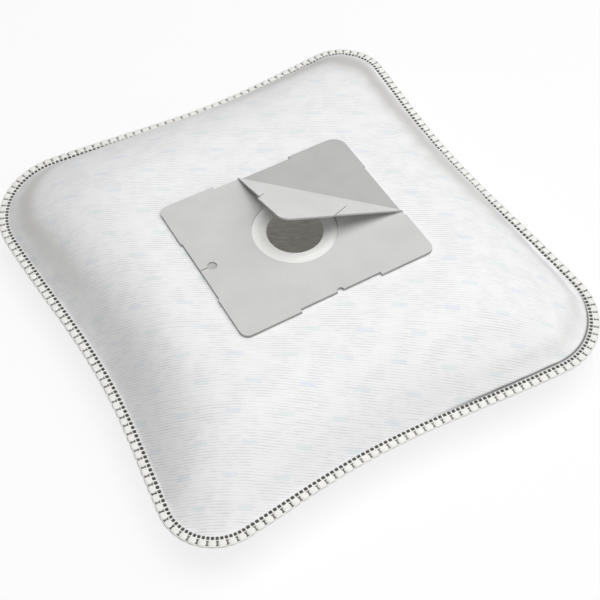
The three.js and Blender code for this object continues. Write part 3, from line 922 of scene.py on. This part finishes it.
    def flange(self, shares: ndarray) -> tuple[ndarray, ndarray, ndarray]:
        """Works out the welded flange, from its parting line over the rim to the seam.

        The bars are fainter by a random share each, and by more in the middle of the sides, the
        right one most. The rim is drawn in at each bar, which gives it scallops.

        Args:
            shares: the columns round the edge.

        Returns:
            The points, rows by columns, with height over the weld plane as Z, how far each is
            pressed, and how creamy the cloth is there.
        """
        bars = self.bars()
        points, inward = self.edge.sample(shares)
        phase = shares * bars
        insets = np.array((self.weld.insets_mm[1], *self.weld.insets_mm))[:, None] * MM
        bearing = np.arctan2(points[:, 1], points[:, 0])
        lesser = np.random.default_rng(self.weld.uneven_seed).uniform(0, self.weld.uneven, bars)
        on_left = self.weld.fainter_left * (1 - np.cos(bearing))
        by_bearing = np.cos(2 * bearing) ** 2 * (1 - on_left)
        faint = lesser[np.round(phase).astype(int) % bars] + self.weld.fainter * by_bearing
        uneven = 1 - np.where(insets < self.weld.bar_end, faint, 0)
        pressed = self.weld.pressed(phase, insets) * self.mark_strength * uneven
        full = self.weld.height(phase, insets)
        plain = self.weld.height(np.full_like(phase, 0.5), np.minimum(insets, self.weld.bar_end))
        height = plain + (full - plain) * self.mark_strength
        height[0] = self.clearance
        scallop = self.weld.scallop * (1 - self.weld.between_bars(phase))
        depth = insets + scallop * np.clip(1 - insets / self.weld.scallop_reach, 0, 1)
        plan = points + inward * depth[..., None]
        cream = np.broadcast_to(1 - smooth(insets, *self.weld.cream_end), height.shape)
        return np.concatenate([plan, height[..., None]], axis=-1), pressed, cream

    def painted_seam_shadow(self, shares: ndarray, inset: ndarray) -> ndarray:
        """Gives a thin dark line of painted shadow along the inner side of the weld at one corner.

        It leaves the dots, bows inwards by up to its bow in the line's own direction, and comes back.

        Args:
            shares: the columns round the edge.
            inset: distance from the edge, rows by columns.

        Returns:
            How dark the painted shadow makes each place, as a share of the weld film's colour.
        """
        points = self.edge.sample(shares)[0]
        turn = np.arctan2(points[:, 1], points[:, 0]) - math.radians(self.weld.line_bearing_deg)
        near = 0.5 + 0.5 * np.cos(turn)
        centre = self.weld.line_inset + self.weld.line_bow * smooth(near, *self.weld.bow_start)
        strength = self.weld.line_strength * smooth(near, *self.weld.line_start)
        return self.mark_strength * strength * np.exp(-((inset - centre) / self.weld.line_width) ** 2)

    def placed(self, grid: ndarray) -> ndarray:
        """Turns heights over the weld plane into places in the frame, up or down by the side."""
        made = grid.copy()
        made[..., 2] = self.seam_z + self.side.value * made[..., 2]
        return made

    def build(self, name: str, outer: Material,
              inner: Material) -> Object:
        """Builds the panel as one closed shell.

        Args:
            name: the piece's name.
            outer: material of its outside.
            inner: material of its inside.

        Returns:
            The panel's object.
        """
        mesh = SurfaceMesh()
        shares, picks = self.shares(), self.picks()
        steps = 1 - np.linspace(0, 1, self.body_rings) ** self.ring_crowding
        body, rays, crease = self.fall(self.seam_inset, shares, self.rise, self.weld.sheet,
                                       steps[::-1], self.apron_puff if self.apron else 0)
        body_uv = self.cloth_uv(body, rays)[::-1]
        body, crease = body[::-1], crease[::-1]
        rows, pressed, cream = self.flange(shares)
        outwards = np.linalg.norm(rows[:, :, :2] - body[0, :, :2], axis=2)
        flange_uv = body_uv[0] + rays * outwards[..., None]
        near = slice(1, 1 + self.fine_rings)
        bare = np.zeros((self.fine_rings, len(shares)))
        from_seam = np.linalg.norm(body[near, :, :2] - body[0, :, :2], axis=2)
        # Painted shadow line by the weld, carried with the melted marks.
        line = self.painted_seam_shadow(shares, self.seam_inset + from_seam)
        pressed[-2:] = self.painted_seam_shadow(shares, np.array(self.weld.insets_mm[-2:])[:, None] * MM)
        # The crease attribute carries painted shade, and the weld attribute a painted shadow line with
        # the melted marks.
        fine = mesh.add_points(self.placed(np.concatenate([rows, body[near]])),
                               np.concatenate([flange_uv, body_uv[near]]),
                               **{WELD_AND_SHADOW_ATTRIBUTE: np.vstack([pressed, line]),
                                  CREAM_ATTRIBUTE: np.vstack([cream, bare]),
                                  CREASE_SHADE_ATTRIBUTE: np.vstack([np.zeros_like(cream), crease[near]])})
        mesh.add_rings(fine)
        plain = {name: np.zeros(1) for name in (WELD_AND_SHADOW_ATTRIBUTE, CREAM_ATTRIBUTE, CREASE_SHADE_ATTRIBUTE)}
        far = slice(1 + self.fine_rings, None)
        coarse = [mesh.add_points(self.placed(body[far, picks]), body_uv[far, picks],
                                  **{**plain, CREASE_SHADE_ATTRIBUTE: crease[far, picks]})]
        coarse.append(self.add_flat(mesh, body[-1, picks], plain, outwards=False))
        for faces in bridge_faces(fine[-1], coarse[0][0], picks):
            mesh.add_faces(faces)
        mesh.add_rings(np.vstack(coarse))
        outside_end = coarse[-1][-1]
        inner_steps = 1 - np.linspace(1, 0, self.inner_rings) ** self.inner_crowding
        lining, inner_rays, _ = self.fall(self.seam_inset + self.wall, shares[picks],
                                          self.rise - self.wall, self.clearance, inner_steps)
        flat = self.add_flat(mesh, lining[0], plain, outwards=True)
        side = mesh.add_points(self.placed(lining), self.cloth_uv(lining, inner_rays), **plain)
        mesh.add_rings(np.vstack([flat, side]), slot=1)
        for faces in bridge_faces(fine[0], side[-1], picks):
            mesh.add_faces(faces[:, ::-1], slot=1)
        if self.hole_radius:
            mesh.add_rings(np.vstack([outside_end, flat[0]]), slot=1)
        return mesh.to_object(name, [outer, inner], mirrored=self.side is Side.LOWER)

    def add_flat(self, mesh: SurfaceMesh, rim: ndarray, layers: dict,
                 outwards: bool) -> ndarray:
        """Adds the flat middle of the panel, up to its hole or closed at its centre.

        Args:
            mesh: the panel's mesh.
            rim: the points round the flat part.
            layers: the attributes of its points.
            outwards: whether the rings run from the middle to the rim, as on the inside.

        Returns:
            The point numbers of the rings, without the rim itself.
        """
        centre = np.append(self.flat_centre, rim[0, 2])
        least = self.hole_radius or self.least_radius
        rays = rim - centre
        far = np.linalg.norm(rays, axis=1, keepdims=True)
        share = np.linspace(1, 0, self.flat_rings + 1)[1:, None, None]
        rings = centre + rays / far * (least + (far - least) * share)
        rings = rings[::-1] if outwards else rings
        numbers = mesh.add_points(self.placed(rings), rings[..., :2], **layers)
        if not self.hole_radius:
            middle = mesh.add_points(self.placed(centre[None, None]), centre[None, None, :2], **layers)
            ring = numbers[0] if outwards else numbers[-1]
            fan = np.stack([ring, np.roll(ring, -1), np.full_like(ring, middle[0, 0])], axis=-1)
            mesh.add_faces(fan[:, ::-1] if outwards else fan, slot=int(outwards))
        return numbers


def bridge_faces(fine: ndarray, coarse: ndarray, picks: ndarray) -> list[ndarray]:
    """Joins a fine ring to a coarse one inside it.

    Args:
        fine: the fine ring's point numbers.
        coarse: the coarse ring's point numbers.
        picks: which of the fine ring's columns the coarse ring has.

    Returns:
        The joining faces, grouped by how many fine columns each spans.
    """
    spans = np.diff(np.append(picks, picks[0] + len(fine)))
    groups = []
    for span in np.unique(spans):
        at = np.flatnonzero(spans == span)
        run = fine[(picks[at, None] + np.arange(span + 1)) % len(fine)]
        pair = np.stack([coarse[(at + 1) % len(coarse)], coarse[at]], axis=-1)
        groups.append(np.hstack([run, pair]))
    return groups


@dataclass
class FleeceBag:
    """The two fleece panels, welded round their edge."""

    fleece: EmbossedFleece = field(default_factory=EmbossedFleece)
    inner: InnerFleece = field(default_factory=InnerFleece)
    edge: BagEdge = field(default_factory=BagEdge)
    weld: WeldPattern = field(default_factory=WeldPattern)
    crown_margin: float = 5 * MM
    crown_squareness: float = 4
    rest_half: tuple[float, float] = (88 * MM, 94 * MM)
    rest_squareness: float = 2.6
    hole_radius: float = 19 * MM
    right_apron: float = 5.5 * MM
    far_overhang: float = 0.3 * MM

    def build(self) -> list[Object]:
        """Builds and dresses both panels and returns them."""
        seam_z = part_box("upper_fleece_panel")[0].z
        card_low, card_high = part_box("collar_base_card")
        card_middle = (card_low + card_high) / 2
        card_half = (card_high - card_low) / 2
        outgrow = 2 ** (1 / self.crown_squareness)
        outer, lining = self.fleece.material(), self.inner.material()
        upper = FleecePanel(
            Side.UPPER, self.edge, self.weld, np.array([card_middle.x, card_middle.y]),
            ((card_half.x + self.crown_margin) * outgrow, (card_half.y + self.crown_margin) * outgrow),
            self.crown_squareness, card_low.z - seam_z, seam_z, hole_radius=self.hole_radius,
            apron=self.right_apron, overhang=self.far_overhang).build("upper_fleece", outer, lining)
        lower = FleecePanel(
            Side.LOWER, self.edge, self.weld, np.zeros(2), self.rest_half, self.rest_squareness,
            seam_z, seam_z, side_powers=(2.2,) * 4, side_fullness=(0.8,) * 4,
            corner_fullness=(1.25,) * 4, crease_shade_strengths=(0,) * 14, swell_seed=12,
            mark_strength=0.35).build("lower_fleece", outer, lining)
        for panel, node, slot in ((upper, "upper_fleece_panel", "fleece_upper"),
                                  (lower, "lower_fleece_panel", "fleece_lower")):
            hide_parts(node)
        return [upper, lower]


# Collar

@dataclass
class Collar:
    """Two glued boards with the sealing ring between them."""

    # The last colour of each board, for its cut edges, is darker partly as painted shade on its sides.
    top_board: GreyBoard = GreyBoard("light_grey_board", "cacac9", "d9d9d8", "b3b2af", "bbbab7")
    base_board: GreyBoard = GreyBoard("mid_grey_board", "b5b5b4", "bbbbba", "a2a2a0", "959594")
    seal_finish: SealSheet = field(default_factory=SealSheet)
    seal_hole_radius: float = 16.75 * MM
    seal_seat_radius: float = 21 * MM
    lip_sag: float = 0.3 * MM
    seal_segments: int = 192
    seat_steps: int = 5
    sag_steps: int = 8
    lip_steps: int = 7
    merge_distance: float = 0.002 * MM
    flat_angle_deg: float = 0.2
    level_normal: float = 0.95
    edge_normal: float = 0.7

    def build(self) -> list[Object]:
        """Builds and dresses the cards and the ring and returns them."""
        return [self.card("top_card", "collar_top_card", self.top_board, "card_top"),
                self.card("base_card", "collar_base_card", self.base_board, "card_base"),
                self.seal()]

    def card(self, name: str, node: str, board: GreyBoard, slot: str) -> Object:
        """Makes a card from its frame node, with its points merged and its cut edges dressed apart.

        The turned-over flap is the one slanting face, so it shows the board's back.

        Args:
            name: the piece's name.
            node: the frame node that it stands for.
            board: its finish.
            slot: the record's material slot; it is not used.

        Returns:
            The card's object.
        """
        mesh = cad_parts[node].data.copy()
        mesh.name = name
        work = bmesh.new()
        work.from_mesh(mesh)
        bmesh.ops.remove_doubles(work, verts=work.verts, dist=self.merge_distance)
        bmesh.ops.dissolve_limit(work, angle_limit=math.radians(self.flat_angle_deg),
                                 verts=work.verts, edges=work.edges)
        for face in work.faces:
            face.smooth = False
            up = face.normal.z
            is_face = up > self.level_normal or -self.level_normal < up < -self.edge_normal
            face.material_index = 2 if abs(up) < self.edge_normal else int(not is_face)
        mesh.materials.clear()
        for material in (board.face_material(board.face, "_face"),
                         board.face_material(board.back, "_back"), board.cut_material()):
            mesh.materials.append(material)
        work.to_mesh(mesh)
        work.free()
        card = link_object(name, mesh)
        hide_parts(node)
        return card

    def seal(self) -> Object:
        """Makes the sealing ring: a flat section carried round the inlet.

        From its outer edge to the base card's hole it is flat. From there inwards its middle sags
        by an eased share of the sag, and it ends in a half-round lip.

        Returns:
            The ring's object.
        """
        low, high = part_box("seal_ring")
        middle = (low + high) / 2
        outer = (high.x - low.x) / 2
        half = (high.z - low.z) / 2
        lip_centre = self.seal_hole_radius + half
        seat = self.seal_seat_radius
        radii = np.concatenate([np.linspace(outer, seat, self.seat_steps)[:-1],
                                np.linspace(seat, lip_centre, self.sag_steps)])
        sag = self.lip_sag * smooth(radii, seat, lip_centre)
        turn = np.linspace(np.pi / 2, 3 * np.pi / 2, self.lip_steps + 2)[1:-1]
        lip = np.stack([lip_centre + half * np.cos(turn), half * np.sin(turn) - sag[-1]], -1)
        top = np.stack([radii, half - sag], -1)
        bottom = np.stack([radii, -half - sag], -1)[::-1]
        section = np.concatenate([top, lip, bottom])
        angle = np.linspace(0, 2 * np.pi, self.seal_segments, endpoint=False)
        across, along, level = np.broadcast_arrays(
            section[:, :1] * np.cos(angle), section[:, :1] * np.sin(angle), section[:, 1:])
        grid = np.stack([across, along, level], axis=-1) + np.array(middle)
        mesh = SurfaceMesh()
        mesh.add_rings(mesh.add_points(grid), closed=True)
        ring = mesh.to_object("seal_ring_sheet", [self.seal_finish.material()])
        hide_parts("seal_ring")
        return ring


# Studio

@dataclass(frozen=True)
class SoftLamp:
    """One large soft lamp: how bright a white card facing it is, and the direction it comes from."""

    name: str
    level: float
    towards: tuple[float, float, float]


@dataclass(frozen=True)
class Studio:
    """Plain pale floor, soft light and the camera."""

    azimuth_deg: float = -30.12
    elevation_deg: float = 52.91
    distance: float = 693.98 * MM
    lens: float = 69.66
    target: tuple[float, float, float] = (-9.09 * MM, -31.11 * MM, 26 * MM)
    floor_half: float = 6.0
    floor_z: float = -0.1 * MM
    floor_colour: str = "f8f8f8"
    floor_white: float = 0.78
    world_level: float = 0.02
    lamps: tuple[SoftLamp, ...] = (SoftLamp("top_lamp", 0.76, (0, 0, 1)),
                                   SoftLamp("right_lamp", 0.32, (0.8, 0, 1)),
                                   SoftLamp("near_lamp", 0.28, (0, -1.6, 1)))
    lamp_distance: float = 1.5
    lamp_size: float = 1.2
    clip: tuple[float, float] = (0.01, 50)

    def back(self) -> Vector:
        """Gives the unit direction from the target to the camera."""
        around, above = math.radians(self.azimuth_deg), math.radians(self.elevation_deg)
        return Vector((math.sin(around) * math.cos(above), -math.cos(around) * math.cos(above),
                       math.sin(above)))

    def camera(self) -> None:
        """Puts the camera at the photograph's viewpoint."""
        data = bpy.data.cameras.new("camera")
        data.lens = self.lens
        data.clip_start, data.clip_end = self.clip
        camera = link_object("camera", data)
        camera.location = Vector(self.target) + self.back() * self.distance
        camera.rotation_euler = (-self.back()).to_track_quat("-Z", "Y").to_euler()
        bpy.context.scene.camera = camera

    def floor(self) -> None:
        """Lays the floor: a pale matt plane, lifted to white for the camera but not in shadow.

        It lies a hair under the bag, so that the two never share a plane.
        """
        reach = self.floor_half
        mesh = bpy.data.meshes.new("floor")
        corners = [(-reach, -reach), (reach, -reach), (reach, reach), (-reach, reach)]
        mesh.from_pydata([(x, y, self.floor_z) for x, y in corners], [], [(0, 1, 2, 3)])
        material, tree = empty_material("matt_floor")
        seen = self.seen_white(tree)
        matt = add_node(tree, "BsdfDiffuse", {"Color": linear(self.floor_colour)})
        white = add_node(tree, "Emission", {"Strength": 1.0})
        share = add_node(tree, "Math", {0: seen, 1: self.floor_white}, operation="MULTIPLY")
        mixed = add_node(tree, "MixShader", {0: share, 1: matt, 2: white})
        add_node(tree, "OutputMaterial", {"Surface": mixed})
        mesh.materials.append(material)
        link_object("floor", mesh)

    def seen_white(self, tree: NodeTree) -> NodeSocket:
        """Adds 1 for rays that the camera, a gloss or a clear material sends, and 0 for light."""
        rays = add_node(tree, "LightPath").outputs
        seen = rays["Is Camera Ray"]
        for kind in ("Is Glossy Ray", "Is Transmission Ray"):
            seen = add_node(tree, "Math", {0: seen, 1: rays[kind]}, operation="MAXIMUM").outputs[0]
        return seen

    def world(self) -> None:
        """Lights the room evenly, and shows the camera a white one."""
        world = bpy.data.worlds.new("soft_room")
        world.use_nodes = True
        tree = world.node_tree
        tree.nodes.clear()
        light, white = (add_node(tree, "Background", {"Color": (1, 1, 1, 1), "Strength": level})
                        for level in (self.world_level, 1.0))
        mixed = add_node(tree, "MixShader", {0: self.seen_white(tree), 1: light, 2: white})
        add_node(tree, "OutputWorld", {"Surface": mixed})
        bpy.context.scene.world = world

    def light(self, lamp: SoftLamp) -> None:
        """Hangs a lamp. Its power is its level times the square of pi times its distance."""
        data = bpy.data.lights.new(lamp.name, "AREA")
        data.size = self.lamp_size
        data.energy = lamp.level * (math.pi * self.lamp_distance) ** 2
        hung = link_object(lamp.name, data)
        towards = Vector(lamp.towards).normalized()
        hung.location = towards * self.lamp_distance
        hung.rotation_euler = (-towards).to_track_quat("-Z", "Y").to_euler()

    def build(self) -> None:
        """Sets up the whole studio."""
        bpy.context.scene.view_settings.view_transform = "Standard"
        self.camera()
        self.floor()
        self.world()
        for lamp in self.lamps:
            self.light(lamp)


def main() -> None:
    """Builds the studio, the bag and the collar, and lets each piece ride on the only body."""
    logging.basicConfig(level=logging.INFO)
    Studio().build()
    for piece in (*FleeceBag().build(), *Collar().build()):
        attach(piece, "root")
        LOG.info("%s: %d faces", piece.name, len(piece.data.polygons))


if __name__ == "__main__":
    main()
